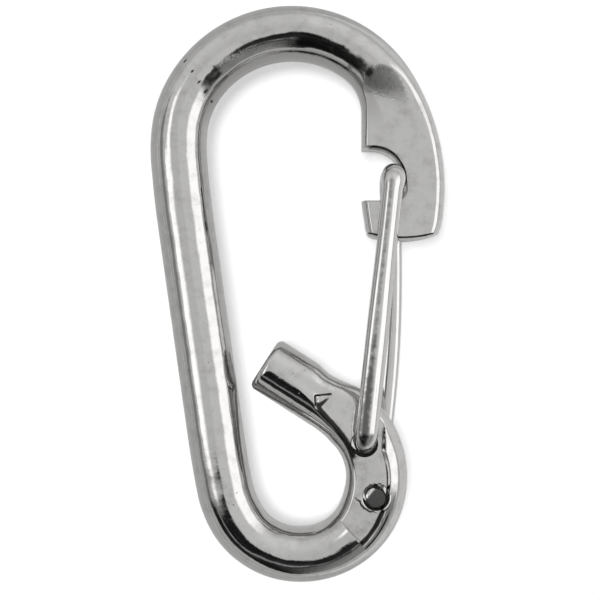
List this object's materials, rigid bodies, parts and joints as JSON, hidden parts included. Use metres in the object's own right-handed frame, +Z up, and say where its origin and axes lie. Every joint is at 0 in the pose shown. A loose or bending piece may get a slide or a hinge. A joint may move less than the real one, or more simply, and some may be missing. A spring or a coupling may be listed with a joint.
{
  "type": "wire gate snap hook",
  "caption": "Polished stainless snap hook bent from one round bar, with a pressed nose, a round eye and a sprung wire gate that swings inward.",
  "frame": {"origin": "under the middle of the hook's outline, on the surface that it lies on", "axes": "+X across the hook towards the gate, +Y along the hook from the eye to the bow, +Z up out of the hook's plane"},
  "size_m": [0.0514, 0.1, 0.0136],
  "materials": {
    "hook_body": "mirror polished stainless bar",
    "gate_wire": "bright drawn stainless spring wire"
  },
  "bodies": {
    "hook": {"hook_body": "hook_body"},
    "gate_front": {"gate_front_leg": "gate_wire"},
    "gate_back": {"gate_back_leg": "gate_wire"}
  },
  "joints": [
    {"name": "gate_swing", "type": "hinge", "parent": "hook", "child": "gate_front", "pos_m": [0.01154, -0.02559, 0.00679], "axis": [0, 0, 1], "range_deg": [0, 28], "stiffness_Nm_per_rad": 0.5, "springref_deg": -22.92},
    {"name": "gate_twist", "type": "hinge", "parent": "gate_front", "child": "gate_back", "pos_m": [0.01643, 0.02041, 0.00679], "axis": [0, 0, 1], "range_deg": [-4.7, 0]}
  ],
  "couplings": [
    {"joint": "gate_twist", "follows": "gate_swing", "ratio": -0.166}
  ]
}
